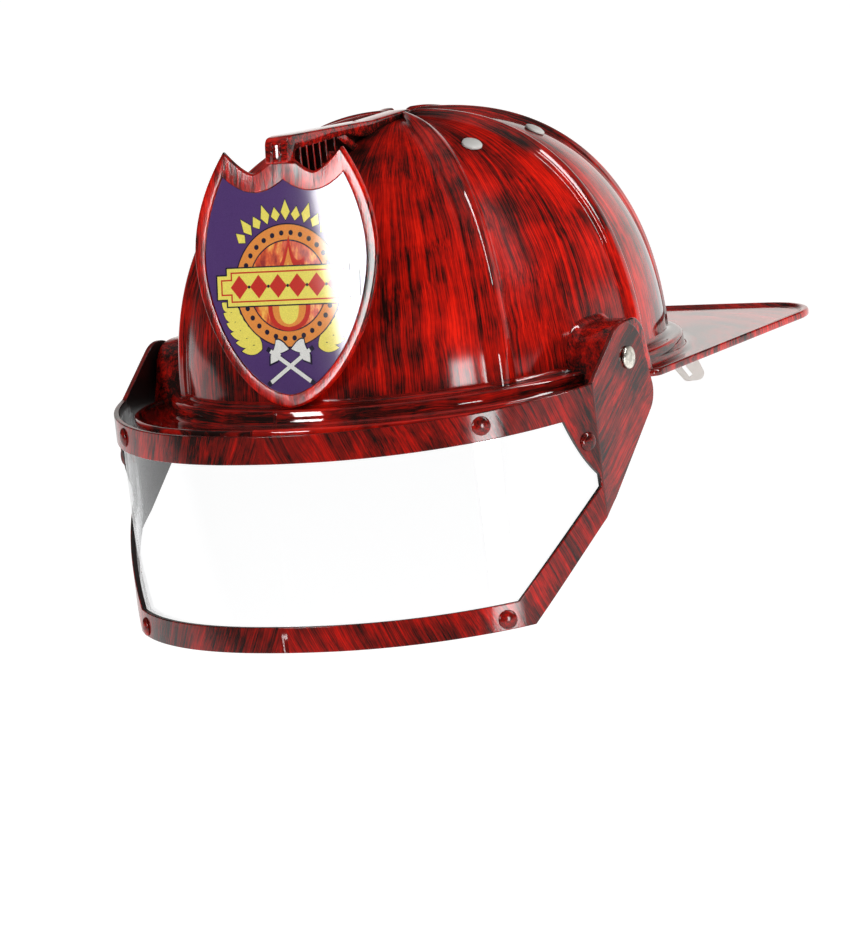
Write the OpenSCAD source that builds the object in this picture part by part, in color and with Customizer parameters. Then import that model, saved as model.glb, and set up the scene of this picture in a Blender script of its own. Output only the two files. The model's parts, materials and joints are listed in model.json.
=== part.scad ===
// Firefighter helmet with a flip-up visor.
// Frame: +Z up, -Y is the front, +X is the wearer's left. The origin is the middle of the
// dome's plan at the height where the hat band meets the brim.

/* [Dome] */
// Half width of the dome between its ribs
dome_half_w = 85.2; // [82:0.1:88]
// Half length of the dome between its ribs
dome_half_l = 92.9; // [90:0.1:96]
// Height of the dome above the brim
dome_h = 97.8; // [92:0.1:104]
// Wall thickness of the moulding
wall = 2; // [1.8:0.1:2.2]
// How far the ribs stand off the dome
rib_h = 2.5; // [1.5:0.1:3]
// Width across the top of a rib
rib_w = 6; // [4:0.5:8]
// How far the hat band stands off the dome
band_out = 5.8; // [4:0.1:6.4]
// Height of the hat band
band_h = 5.9; // [4:0.1:8]

/* [Brim] */
// Half width of the brim beside the pivots
brim_half_w = 97; // [95:0.1:97.4]
// Distance from the origin to the front edge of the brim
brim_front = 113.5; // [108:0.1:114.5]
// Half width of the rear brim just behind the pivots
tail_half_w = 101; // [98:0.1:102]
// Distance from the origin to the rear edge of the brim
tail_l = 146; // [130:0.5:160]
// Corner radius of the rear brim
tail_corner = 30; // [18:1:34]

/* [Visor] */
// Half width of the visor where it is widest
visor_half_w = 104.6; // [104:0.1:106]
// Distance from the origin to the front of the visor
visor_front = 119.3; // [119:0.1:124]
// Thickness of the visor frame
frame_t = 2; // [1.6:0.1:2.2]
// Height of the top bar
top_bar_h = 10.4; // [8:0.1:12]
// Height of the lower bar
low_bar_h = 9.5; // [8:0.1:12]
// Thickness of the lens sheet
lens_t = 0.8; // [0.5:0.1:1]
// Droop of the visor's bars towards the front, in degrees
droop = 4; // [3:0.1:5]

/* [Pivot] */
// Distance of the visor's pivots in front of the origin
pivot_fwd = 27.2; // [26:0.1:29]
// Height of the visor's pivots
pivot_z = 9.2; // [8:0.1:11]
// Radius of the pivot rivet's shank
pivot_r = 2.5; // [2:0.1:3]
// Radius of the pivot rivet's head
pivot_head_r = 4.2; // [4:0.1:5]

/* [Front shield] */
// Half width of the shield
shield_half_w = 38.6; // [36:0.1:40]
// Length of the shield along its face, up to its horns
shield_l = 93.2; // [91:0.1:95]
// Lean of the shield, in degrees from upright
shield_lean = 8.94; // [8:0.02:10]
// Thickness of the shield plate
shield_t = 2.4; // [2:0.1:2.6]

/* [Suspension] */
// Half width outside the headband
headband_half_w = 79.6; // [78:0.1:80]
// Thickness of the headband and the straps
strap_t = 1.2; // [1:0.1:1.4]
// Width of a crown strap
strap_w = 14; // [10:1:16]

/* [Hidden] */
$fn = 48;
gap = 0.05;         // running clearance, on the radius
fit = 0.02;         // assembly clearance, on the radius
slack = 0.1;        // room between faces that only lie together
overlap = 0.2;      // how far the pieces of one moulding reach into each other

// Exponents of the dome's plan and height curves: 2 would be an ellipse
plan_e = 2.17;
height_e = 2.375;
red = [0.62, 0.05, 0.04];
natural = [0.9, 0.9, 0.86];

// ---- curves -------------------------------------------------------------------------------
function powered(v, e) = sign(v) * pow(abs(v), 2 / e);

// A point of a rounded plan, at angle a from the front towards the wearer's left
function plan(a, hw, hl, e, z) = [hw * powered(sin(a), e), -hl * powered(cos(a), e), z];

function bezier(a, b, c, n) =
    [for (i = [0:n]) let (t = i / n) (1 - t) * (1 - t) * a + 2 * t * (1 - t) * b + t * t * c];

function arc(centre, r, from, to, n) =
    [for (i = [0:n]) let (t = from + (to - from) * i / n) centre + r * [cos(t), sin(t)]];

side_reach = 120;   // past everything, to either side

function flipped(pts) = [for (i = [len(pts) - 1:-1:0]) [-pts[i].x, pts[i].y]];

// ---- fasteners ----------------------------------------------------------------------------
// Round head with a straight rim and a domed top
module domed_head(r, rim, rise) let (big = (r * r + rise * rise) / (2 * rise)) intersection() {
    cylinder(r = r, h = rim + rise);
    translate([0, 0, rim + rise - big]) sphere(r = big, $fn = 96);
}

module washer(hole_r, r, t) difference() {
    cylinder(r = r, h = t);
    translate([0, 0, -1]) cylinder(r = hole_r + fit, h = t + 2);
}

// Snap-in stud: a shank with a disc at each end of the stack that it holds, from z0 to z1
stud_r = 1.4;
stud_disc_r = 2.5;
stud_disc_t = 0.8;
module stud(z0, z1) {
    for (z = [z0 - stud_disc_t, z1]) translate([0, 0, z]) cylinder(r = stud_disc_r, h = stud_disc_t);
    translate([0, 0, z0 - stud_disc_t / 2]) cylinder(r = stud_r, h = z1 - z0 + stud_disc_t);
}

// ---- dome ---------------------------------------------------------------------------------
rib_at = [0, 51, 94, 134, 180, 226, 266, 309, 360];     // the front place stays bare for the beak
panel_steps = 5;    // faces across a panel between two ribs
dome_rings = 13;
rib_foot = rib_w / 2 + 1.4;
band_round = 0.5;
rim_drop = 2.2;     // how far the dome's wall reaches below the brim's top face
top_angle = 83;
foot_angle = asin(pow(band_h / dome_h, height_e / 2));

function ring_radius(b) = powered(cos(b), height_e);

// Angle across half a rib of half width w at height angle b
function rib_angle(w, b, most) = min(most, w / (ring_radius(b) * dome_half_w) * 180 / PI);

// Angles round a ring, and how much of the rib stands at each: [angle, share]
function ring_angles(b) = [for (k = [0:len(rib_at) - 2])
    let (foot = rib_angle(rib_foot, b, 15), top = rib_angle(rib_w / 2, b, 10), on = k > 0 ? 1 : 0,
         panel = rib_at[k + 1] - rib_at[k] - 2 * foot)
    each concat([[-foot, 0], [-top, on], [top, on], [foot, 0]],
        [for (i = [1:panel_steps - 1]) [foot + panel * i / panel_steps, 0]])
    + [for (i = [0:panel_steps + 2]) [rib_at[k], 0]]];

function dome_ring(b) = [for (s = ring_angles(b)) let (d = rib_h * s[1])
    plan(s[0], (dome_half_w + d) * ring_radius(b), (dome_half_l + d) * ring_radius(b), plan_e,
        (dome_h + d) * powered(sin(b), height_e))];

function foot_ring(out, z) = [for (s = ring_angles(foot_angle))
    plan(s[0], dome_half_w + out, dome_half_l + out, plan_e, z)];

// A closed solid under a top point, through rings of points that go down to a flat foot
module ringed(top, rings) {
    n = len(rings[0]);
    last = 1 + (len(rings) - 1) * n;
    polyhedron(concat([top], [for (ring = rings) each ring]), concat(
        [for (j = [0:n - 1]) [0, 1 + (j + 1) % n, 1 + j]],
        [for (i = [1:n:last - n], j = [0:n - 1])
            let (a = i + j, b = i + (j + 1) % n) each [[a, b, a + n], [b, b + n, a + n]]],
        [[for (j = [0:n - 1]) last + j]]));
}

module dome_outside() {
    heights = [for (i = [dome_rings:-1:0]) foot_angle + (top_angle - foot_angle) * i / dome_rings];
    ringed([0, 0, dome_h + rib_h], concat([for (b = heights) dome_ring(b)],
        [foot_ring(band_out - band_round, band_h - band_round), foot_ring(band_out, -0.3),
         foot_ring(band_out, -rim_drop)]));
}

// Ring of the dome's inner face at height angle b
function inside_ring(b, z) = [for (a = [0:7.5:352.5])
    plan(a, (dome_half_w - wall) * ring_radius(b), (dome_half_l - wall) * ring_radius(b), plan_e, z)];

module dome_inside() {
    heights = [for (i = [dome_rings - 1:-1:0]) top_angle * (i + 0.2) / dome_rings];
    ringed([0, 0, dome_h - wall], concat(
        [for (b = heights) inside_ring(b, (dome_h - wall) * powered(sin(b), height_e))],
        [inside_ring(0, -rim_drop - 1)]));
}

// ---- brim ---------------------------------------------------------------------------------
brim_t = 1.5;
lip_w = 3;
lip_h = 1.2;
visor_mid = -23.15;         // where the brim and the visor are widest
notch_y = -8;               // the rear brim widens behind the visor's ear plates
tail_taper = 5.5;           // how much narrower the rear brim gets on its way back

// Left half of the brim's outline, from the front to the rear, set in by d
function brim_half(d) = concat(
    [for (i = [0:24]) let (p = plan(i * 90 / 24, brim_half_w - d, brim_front + visor_mid - d, 2.2, 0))
        [p.x, p.y + visor_mid]],
    arc([tail_half_w - 4, notch_y + 4 + d], 4 - min(d, 3), -90, 0, 4),
    arc([tail_half_w - tail_taper - tail_corner, tail_l - 2 - tail_corner], tail_corner - d, -2, 88, 10),
    bezier([tail_half_w - tail_taper - 2 - tail_corner, tail_l - d - 1.8], [30, tail_l - d],
        [0, tail_l - d], 6));

module brim_outline(d) polygon(concat(brim_half(d), flipped(brim_half(d))));

module dome_outline(out)
    polygon([for (a = [0:4:356]) let (p = plan(a, dome_half_w + out, dome_half_l + out, plan_e, 0))
        [p.x, p.y]]);

module brim() {
    translate([0, 0, -brim_t]) linear_extrude(brim_t)
        difference() { brim_outline(0); dome_outline(-wall / 2); }
    translate([0, 0, -brim_t]) linear_extrude(brim_t + lip_h)
        difference() { brim_outline(0); brim_outline(lip_w); }
}

// ---- pivot bosses -------------------------------------------------------------------------
plate_out = 100.4;                      // outer face of the ear plates
plate_in = plate_out - frame_t;
boss_face = plate_in - 0.6;
boss_wall = 2.4;
boss_root = 79;                         // inside the dome's wall all along the boss
core_root = 66;
boss_side = [[-37.5, -0.8], [-31.5, 17], [-28, 20.6], [-22, 21.8], [-13, 21.8], [-8.5, 18], [-4, -0.8]];
boss_core = [[-35.4, 1], [-29.8, 16.2], [-26, 19.4], [-14, 19.4], [-10.6, 16.4], [-6.4, 1]];

// An outline in (Y, Z), extruded along X from x0 to x1
module along_x(x0, x1)
    translate([x0, 0, 0]) rotate([90, 0, 90]) linear_extrude(x1 - x0) children();

module both_sides() { children(); mirror([1, 0, 0]) children(); }

module at_pivot() translate([0, -pivot_fwd, pivot_z]) rotate([0, 90, 0]) children();

module pivot_bore(room) at_pivot() cylinder(r = pivot_r + room, h = 2 * side_reach, center = true);

module bosses() both_sides() along_x(boss_root, boss_face) polygon(boss_side);

module boss_cores() both_sides() along_x(core_root, boss_face - boss_wall) polygon(boss_core);

// ---- beak over the shield -----------------------------------------------------------------
beak_half_w = 4.7;
beak_web_w = 5;
beak_front = -87.6;
beak_slot_w = 20;
slot_s = 91;        // the block over the shield is slotted up to here, along the shield's face
fin_t = 1.2;
fin_top = 97.6;
fin_ys = [-78, -73.5, -69, -64.5, -58];
beak_side = [[2, 96], [2, dome_h + 2.3], [-24, 100.1], [beak_front + 5, 103.6], [beak_front + 1.9, 103],
    [beak_front + 0.4, 101], [beak_front - 0.8, 94], [-82.6, 93.2], [-81, fin_top], [-46, 97.2], [-22, 93]];
web_side = [[-20, 88], [-30, 97], [-46, 98], [-81.6, 98.2], [-82.5, 88], [-94.5, 12],
    [-94.3, band_h - 1], [-80, band_h - 1], [-80, 40]];

// Height of a fin's foot, on the slanting edge of the web behind it
function fin_low(y) = 80 + (y + 78) * 0.55;

module beak() difference() {
    union() {
        along_x(-beak_half_w, beak_half_w) polygon(beak_side);
        along_x(-beak_web_w / 2, beak_web_w / 2) polygon(web_side);
        for (y = fin_ys) translate([-beak_half_w, y - fin_t / 2, fin_low(y)])
            cube([2 * beak_half_w, fin_t, fin_top - fin_low(y)]);
    }
    shield_frame() translate([-beak_slot_w / 2, 0, -slack])
        cube([beak_slot_w, slot_s, shield_t + 2 * slack]);
}

// ---- crown pegs ---------------------------------------------------------------------------
peg_r = 1.8;
peg_l = 6.9;
peg_head_r = 4;
peg_tail_r = 2.8;
peg_tail_t = 0.8;
peg_places = [[41.5, -19.8], [43, 23.8]];

function plan_ratio(p, out) = pow(pow(abs(p.x) / (dome_half_w + out), plan_e)
    + pow(abs(p.y) / (dome_half_l + out), plan_e), 1 / plan_e);

function dome_z(p, out) = (dome_h + out) * pow(1 - pow(plan_ratio(p, out), height_e), 1 / height_e);

// Outward normal of the dome above a plan point, by small steps
function dome_normal(p) = let (e = 0.1, dx = [e, 0], dy = [0, e],
    v = [dome_z(p - dx, 0) - dome_z(p + dx, 0), dome_z(p - dy, 0) - dome_z(p + dy, 0), 2 * e])
    v / norm(v);

module on_dome(p) let (v = dome_normal(p))
    translate([p.x, p.y, dome_z(p, 0)]) rotate([0, acos(v.z), atan2(v.y, v.x)]) children();

module peg_bores()
    for (p = peg_places, s = [-1, 1]) on_dome([s * p.x, p.y])
        translate([0, 0, -peg_l - 5]) cylinder(r = peg_r + fit, h = peg_l + 9);

module shell() color(red) difference() {
    union() {
        difference() {
            union() {
                dome_outside();
                bosses();
                beak();
            }
            dome_inside();
            boss_cores();
        }
        brim();
    }
    pivot_bore(fit);
    peg_bores();
    shield_frame() translate([0, post_s, -1]) cylinder(r = post_r + fit, h = post_l + 5);
}

// ---- front shield -------------------------------------------------------------------------
shield_foot = [0, -98.1, 6.6];
shield_wide_s = 56;         // where the shield is widest, along its face
shield_notch = [12.8, 84.8];
label_half_w = 34;
label_foot = 4.8;
label_wide_s = 54;
label_top = [25.5, 84];
label_notch = [11.7, 77.9];
label_t = 0.25;
recess = 0.6;
post_r = 2;
post_s = 26;
post_l = 9;
retainer_at = 10.4;         // depth of the retainer behind the shield's face
retainer_r = 5;
retainer_t = 0.8;

// Shield frame: X across, Y up the shield's face, Z from its face into the helmet
module shield_frame() translate(shield_foot) rotate([90 - shield_lean, 0, 0]) mirror([0, 0, 1]) children();

// Half outline of a shield: foot, widest point and horn, with round sides
function shield_half(hw, foot, wide, horn, notch, foot_e, notch_e) = concat(
    [for (i = [0:20]) let (a = i * 90 / 20)
        [hw * powered(sin(a), foot_e), wide - (wide - foot) * powered(cos(a), foot_e)]],
    [for (i = [1:7]) let (t = i / 8) [hw - (hw - horn.x) * t * t, wide + (horn.y - wide) * t]],
    [for (i = [0:10]) let (x = horn.x * (1 - i / 10), rise = abs(x - notch.x) / (horn.x - notch.x),
            s = notch.y + (horn.y - notch.y) * pow(rise, notch_e))
        [x, x < notch.x ? min(slot_s - slack, s) : s]]);

module shield_outline() let (h = shield_half(shield_half_w, 0, shield_wide_s, [25.2, shield_l],
        shield_notch, 1.75, 1.5))
    polygon(concat(h, flipped(h)));

module label_outline(d) let (h = shield_half(label_half_w - d, label_foot + d, label_wide_s,
        label_top - [d, d], label_notch - [0, d], 1.75, 2))
    polygon(concat(h, flipped(h)));

module front_shield() color(red) shield_frame() difference() {
    union() {
        linear_extrude(shield_t) shield_outline();
        translate([0, post_s, shield_t - overlap]) cylinder(r = post_r, h = post_l);
    }
    translate([0, 0, -1]) linear_extrude(1 + recess) label_outline(-slack);
}

module shield_label() color([0.12, 0.1, 0.32])
    shield_frame() translate([0, 0, recess - label_t]) linear_extrude(label_t) label_outline(0);

// Push-on ring that grips the shield's post inside the dome
module shield_retainer() color("silver") shield_frame()
    translate([0, post_s, retainer_at]) washer(post_r, retainer_r, retainer_t);

// ---- visor --------------------------------------------------------------------------------
visor_e = 2.19;
visor_hl = visor_front + visor_mid;
crease_y = -54.4;
top_mid_z = 6.7;            // height of the top edge beside the visor's middle
low_mid_z = -63.2;          // height of the lower bar's upper edge there

function bar_z(z, y) = z + tan(droop) * (y - visor_mid);

// Outline of the visor's wall in plan, set in by d, between the two creases
function visor_plan(d) = let (hw = visor_half_w - d, hl = visor_hl - d,
    c = pow((visor_mid - crease_y) / hl, visor_e / 2), most = acos(c))
    [for (i = [0:48]) let (p = plan(-most + 2 * most * i / 48, hw, hl, visor_e, 0)) [p.x, p.y + visor_mid]];

module visor_wall(d, t, z0, z1) let (out = visor_plan(d), in = visor_plan(d + t))
    translate([0, 0, z0]) linear_extrude(z1 - z0)
        polygon(concat(out, [for (i = [len(in) - 1:-1:0]) in[i]]));

far = -130;
opening = concat(
    [[far, bar_z(top_mid_z - top_bar_h, far)]],
    bezier([-68.1, -7], [-62.8, -21.5], [-55.6, -28.4], 8),
    bezier([-55.4, -32.8], [-74.5, -47.5], [-89.3, bar_z(low_mid_z, -89.3)], 8),
    [[far, bar_z(low_mid_z, far)]]);

// The frame seen from the side: bars, ear plate and the slanting arm between them
ear_outline = concat(
    [[crease_y - 0.6, bar_z(top_mid_z, crease_y) + 0.1]],
    arc([-pivot_fwd, pivot_z], 12.8, 125, 8, 10),
    arc([-20.3, -4.6], 9.7, 8, -50, 6));
side_view = concat([[far, bar_z(top_mid_z, far)]], ear_outline,
    bezier([-46.4, -38.8], [-66, -51.5], [-85.1, bar_z(low_mid_z - low_bar_h, -85.1)], 8),
    [[far, bar_z(low_mid_z - low_bar_h, far)]]);

plate_profile = concat(ear_outline, [[-46.4, -38.8], [crease_y - 0.6, -45.4]]);

// Lens rivets: [Y of the rivet, its height], top, side and bottom
lens_rivet_r = 1.5;
lens_head_r = 3.5;
lens_tail_r = 2.8;
lens_tail_t = 0.7;
rivet_places = [[-93.7, -3], [-59.4, -15.7], [-92.7, -73.7]];

// Point and direction of the visor's wall at a given Y on the wearer's left
function wall_x(y, d) = (visor_half_w - d)
    * pow(1 - pow((visor_mid - y) / (visor_hl - d), visor_e), 1 / visor_e);
function wall_turn(y) = atan2(wall_x(y + 0.2, 0) - wall_x(y - 0.2, 0), 0.4);

module on_visor(i, side) mirror([side < 0 ? 1 : 0, 0, 0]) let (p = rivet_places[i])
    translate([wall_x(p[0], 0), p[0], p[1]]) rotate([0, 90, -wall_turn(p[0])]) children();

module rivet_bores() for (i = [0:2], s = [-1, 1]) on_visor(i, s)
    translate([0, 0, -6]) cylinder(r = lens_rivet_r + gap, h = 9);

module visor_frame() color(red) difference() {
    union() {
        intersection() {
            visor_wall(0, frame_t, -90, 12);
            along_x(-side_reach, side_reach) polygon(side_view);
        }
        both_sides() along_x(plate_in, plate_out) polygon(plate_profile);
    }
    along_x(-side_reach, side_reach) polygon(opening);
    pivot_bore(gap);
    rivet_bores();
}

lens_rear = -52.8;
lens_side = concat([[far, bar_z(top_mid_z - 2, far)], [lens_rear, bar_z(top_mid_z - 2, lens_rear)]],
    bezier([lens_rear, -38], [-70, -50.5], [-86.5, bar_z(low_mid_z - low_bar_h + 2, -86.5)], 8),
    [[far, bar_z(low_mid_z - low_bar_h + 2, far)]]);

module visor_lens() color([0.85, 0.9, 0.92, 0.3]) difference() {
    intersection() {
        visor_wall(frame_t + slack, lens_t, -90, 12);
        along_x(-side_reach, side_reach) polygon(lens_side);
    }
    rivet_bores();
}

module lens_rivet(i, side) color(red) on_visor(i, side) {
    grip = frame_t + lens_t + 2 * slack + 0.15;
    translate([0, 0, -grip - lens_tail_t]) cylinder(r = lens_tail_r, h = lens_tail_t);
    translate([0, 0, -grip - overlap]) cylinder(r = lens_rivet_r, h = grip + 3 * overlap);
    translate([0, 0, gap]) domed_head(lens_head_r, 0.05, 1.45);
}

// ---- pivot hardware -----------------------------------------------------------------------
washer_r = 4.6;
washer_t = 0.9;
washer_x = boss_face - boss_wall - slack - washer_t;    // the washer's inner face
pivot_tail_r = 3.4;
pivot_tail_t = 0.8;

module pivot_rivet(side) color("silver") mirror([side < 0 ? 1 : 0, 0, 0]) at_pivot() {
    translate([0, 0, plate_out + slack]) domed_head(pivot_head_r, 0.95, 0.85);
    translate([0, 0, washer_x - pivot_tail_t]) cylinder(r = pivot_r, h = plate_out + 1 - washer_x);
    translate([0, 0, washer_x - slack - pivot_tail_t]) cylinder(r = pivot_tail_r, h = pivot_tail_t);
}

module pivot_washer(side) color("silver") mirror([side < 0 ? 1 : 0, 0, 0]) at_pivot()
    translate([0, 0, washer_x]) washer(pivot_r, washer_r, washer_t);

module crown_peg(p) color(natural) on_dome(p) {
    translate([0, 0, slack]) domed_head(peg_head_r, 0.55, 1.1);
    translate([0, 0, -peg_l]) cylinder(r = peg_r, h = peg_l + 3 * overlap);
    translate([0, 0, -peg_l - 2 * overlap]) cylinder(r = peg_tail_r, h = peg_tail_t);
}

// ---- suspension ---------------------------------------------------------------------------
strap_gap = 2.2;            // room between the dome's wall and a crown strap
headband_out = headband_half_w - dome_half_w;     // the headband's outer face, from the dome's
headband_half_l = dome_half_l + headband_out;
headband_low = -6;
headband_high = 18;
nape_low = -9.2;
stud_z = 6;

// Half width of the space inside the dome at plan position y and height z
function room_x(y, z) = let (out = -wall - strap_gap,
    r = pow(1 - pow(max(z, 0) / (dome_h + out), height_e), 1 / height_e))
    (dome_half_w + out) * r * pow(1 - pow(abs(y) / ((dome_half_l + out) * r), plan_e), 1 / plan_e);

// One side of a crown strap's outline, up the dome's wall past the peg. The top between the sides is level
function strap_line(y, x_top, d) = let (x_end = x_top - 6, r = plan_ratio([x_end, y], -wall - strap_gap),
    z_end = (dome_h - wall - strap_gap) * pow(1 - pow(r, height_e), 1 / height_e))
    [for (i = [0:16]) let (z = z_end * (1 - pow(1 - i / 16, 1.8)))
        [min(room_x(y, z), band_inside(y)) - d * (1 - 0.6 * i / 16), z - d * i / 16]];

// Inside face of the headband at plan position y
function band_inside(y) = (headband_half_w - strap_t - slack)
    * pow(1 - pow((abs(y) + strap_w / 2) / (headband_half_l - strap_t - slack), plan_e), 1 / plan_e);

module crown_strap(i) color(natural) let (p = peg_places[i], out = strap_line(p.y, p.x, 0),
        in = strap_line(p.y, p.x, strap_t))
    difference() {
        translate([0, p.y + strap_w / 2, 0]) rotate([90, 0, 0]) linear_extrude(strap_w)
            polygon(concat(out, flipped(out), [for (k = in) [-k.x, k.y]],
                [for (k = [len(in) - 1:-1:0]) in[k]]));
        peg_bores();
        strap_stud_bores(p.y);
    }

module strap_stud_bores(y) translate([0, y, stud_z]) rotate([0, 90, 0])
    cylinder(r = stud_r + fit, h = 2 * side_reach, center = true);

module ring_wall(hw, hl, t, z0, z1, from, to)
    translate([0, 0, z0]) linear_extrude(z1 - z0) polygon(concat(
        [for (a = [from:3:to]) let (p = plan(a, hw, hl, plan_e, 0)) [p.x, p.y]],
        [for (a = [to:-3:from]) let (p = plan(a, hw - t, hl - t, plan_e, 0)) [p.x, p.y]]));

module headband() color(natural) difference() {
    translate([0, 0, headband_low]) linear_extrude(headband_high - headband_low) difference() {
        dome_outline(headband_out);
        dome_outline(headband_out - strap_t);
    }
    for (p = peg_places) strap_stud_bores(p.y);
    size_stud_bores();
}

// Rear strap under the headband, with a slotted tab at each end that stands out below the brim
nape_from = 126;
nape_gap = 0.3;
nape_high = 2;
tab_l = 17.6;
tab_high = -4;
tab_low = -14.4;
tab_slot = [1.4, 5.8];
tab_turn = 31;      // direction of a tab, in degrees from +X towards the rear

module nape_tab() let (p = plan(nape_from, headband_half_w + nape_gap, headband_half_l + nape_gap,
        plan_e, 0))
    translate([p.x, p.y, 0]) rotate([0, 0, tab_turn]) rotate([90, 0, 0])
        linear_extrude(strap_t, center = true) difference() {
            polygon(concat([[0.6, tab_high], [0.6, headband_low - 0.2], [-1, headband_low - 0.4],
                [-1, nape_low + 0.5], [5.8, nape_low + 1.2]], arc([11.4, tab_low + 2.2], 2.2, 200, 270, 4),
                arc([tab_l - 2.6, tab_low + 2.6], 2.6, -90, 10, 5), [[tab_l - 2.8, tab_high]]));
            translate([11.1, tab_low + 4.3]) rotate([0, 0, 32]) square(tab_slot, center = true);
        }

module nape_strap() color(natural) difference() {
    union() {
        ring_wall(headband_half_w + nape_gap + strap_t, headband_half_l + nape_gap + strap_t, strap_t,
            nape_low, nape_high, nape_from, 360 - nape_from);
        both_sides() nape_tab();
    }
    size_stud_bores();
}

size_stud_angle = 132;
size_stud_z = -2;

// Along the outward normal of the headband at the size studs
module at_size_stud(side) mirror([side < 0 ? 1 : 0, 0, 0])
    let (p = plan(size_stud_angle, headband_half_w, headband_half_l, plan_e, 0))
    translate([p.x, p.y, size_stud_z]) rotate([0, 90, 0.9 * (size_stud_angle - 90)]) children();

module size_stud_bores() for (s = [-1, 1]) at_size_stud(s)
    cylinder(r = stud_r + fit, h = 12, center = true);

module size_stud(side) color(natural) at_size_stud(side)
    stud(-strap_t - 2 * slack, nape_gap + strap_t + slack);

// Outside face of the headband at plan position y
function headband_face(y) = headband_half_w * pow(1 - pow(abs(y) / headband_half_l, plan_e), 1 / plan_e);

module strap_stud(i, side) color(natural) mirror([side < 0 ? 1 : 0, 0, 0])
    let (y = peg_places[i].y, x = band_inside(y))
    translate([x, y, stud_z]) rotate([0, 90, 0]) stud(-strap_t - slack, headband_face(y) - x + 0.8);

shell();
front_shield();
shield_label();
shield_retainer();
visor_frame();
visor_lens();
lens_rivet(0, 1);  // lens_rivet_left_top
lens_rivet(1, 1);  // lens_rivet_left_side
lens_rivet(2, 1);  // lens_rivet_left_bottom
lens_rivet(0, -1);  // lens_rivet_right_top
lens_rivet(1, -1);  // lens_rivet_right_side
lens_rivet(2, -1);  // lens_rivet_right_bottom
pivot_rivet(1);  // pivot_rivet_left
pivot_rivet(-1);  // pivot_rivet_right
pivot_washer(1);  // pivot_washer_left
pivot_washer(-1);  // pivot_washer_right
crown_peg(peg_places[0]);  // crown_peg_front_left
mirror([1, 0, 0]) crown_peg(peg_places[0]);  // crown_peg_front_right
crown_peg(peg_places[1]);  // crown_peg_rear_left
mirror([1, 0, 0]) crown_peg(peg_places[1]);  // crown_peg_rear_right
crown_strap(0);  // crown_strap_front
crown_strap(1);  // crown_strap_rear
strap_stud(0, 1);  // strap_stud_front_left
strap_stud(0, -1);  // strap_stud_front_right
strap_stud(1, 1);  // strap_stud_rear_left
strap_stud(1, -1);  // strap_stud_rear_right
headband();
nape_strap();
size_stud(1);  // size_stud_left
size_stud(-1);  // size_stud_right
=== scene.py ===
"""Looks for a firefighter helmet with a flip-up visor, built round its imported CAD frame.

The helpers work in millimetres in the helmet's own frame (+Z up, -Y the front, +X the wearer's left),
and finished() turns each mesh into metres. Every painted mesh carries a "grain" vector in millimetres:
X and Y run across the brush strokes, and Z runs slowly along them.
"""
import json
import math

import bmesh
import bpy
import numpy as np
from mathutils import Matrix, Vector


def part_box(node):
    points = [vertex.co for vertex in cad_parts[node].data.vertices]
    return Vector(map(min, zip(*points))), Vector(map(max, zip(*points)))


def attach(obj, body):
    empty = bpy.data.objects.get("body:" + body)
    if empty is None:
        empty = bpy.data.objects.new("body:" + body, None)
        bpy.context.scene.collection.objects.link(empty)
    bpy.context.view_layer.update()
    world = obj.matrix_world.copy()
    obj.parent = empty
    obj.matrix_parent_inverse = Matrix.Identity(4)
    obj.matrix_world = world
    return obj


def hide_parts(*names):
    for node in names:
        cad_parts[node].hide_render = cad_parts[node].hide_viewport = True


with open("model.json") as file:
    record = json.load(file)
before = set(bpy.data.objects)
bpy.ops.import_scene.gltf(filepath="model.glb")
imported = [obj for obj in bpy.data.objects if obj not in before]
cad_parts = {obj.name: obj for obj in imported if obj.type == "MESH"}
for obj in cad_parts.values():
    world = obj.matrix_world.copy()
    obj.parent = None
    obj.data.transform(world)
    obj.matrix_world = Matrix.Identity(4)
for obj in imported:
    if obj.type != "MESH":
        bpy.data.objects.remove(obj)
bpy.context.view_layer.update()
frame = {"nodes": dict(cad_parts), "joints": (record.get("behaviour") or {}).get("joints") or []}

MM = 0.001


def box_mm(node):
    low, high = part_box(node)
    return np.array(low) / MM, np.array(high) / MM


# ---- sizes ----
shell_low, shell_high = box_mm("shell")
frame_low = box_mm("visor_frame")[0]
hinge = np.array(frame["joints"][0]["pos_m"]) / MM

DOME_W, DOME_L, DOME_H = 85.2, 92.9, 97.8       # half width, half length and height between the ribs
PLAN_E, HEIGHT_E = 2.17, 2.375                  # exponents of the plan and height curves
WALL = 2.0
RIB_H = 2.5
RIB_HALF_W = 3.3
RIB_AT = (0, 51, 94, 134, 180, 226, 266, 309)   # places for ribs; the front one stays bare
BAND_OUT, BAND_H = 5.8, 5.9
BRIM_T, LIP_W, LIP_H = 1.5, 3.0, 1.2

BRIM_FRONT = -shell_low[1]
BRIM_HALF_W = 97.0
TAIL_HALF_W = shell_high[0]
TAIL_L = shell_high[1]
TAIL_CORNER = 30.0
TAIL_TAPER = 5.5
NOTCH_Y = -8.0
NOTCH_R = 4.0

VISOR_MID = -23.15                              # Y where the brim and the visor are widest
VISOR_W = 104.6
VISOR_L = VISOR_MID - frame_low[1]
VISOR_E = 2.19
CREASE_Y = -54.4
FRAME_T = 2.0
LENS_T = 0.8
TOP_MID_Z, LOW_MID_Z = 6.7, -63.2
TOP_BAR_H, LOW_BAR_H = 10.4, 9.5
DROOP = math.radians(4)
PLATE_OUT = 100.4

SHIELD_FOOT = np.array([0, -98.1, 6.6])
SHIELD_LEAN = math.radians(8.94)
SHIELD_UP = np.array([0, math.sin(SHIELD_LEAN), math.cos(SHIELD_LEAN)])
SHIELD_IN = np.array([0, math.cos(SHIELD_LEAN), -math.sin(SHIELD_LEAN)])
SHIELD_T = 2.4
RECESS = 0.6

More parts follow.
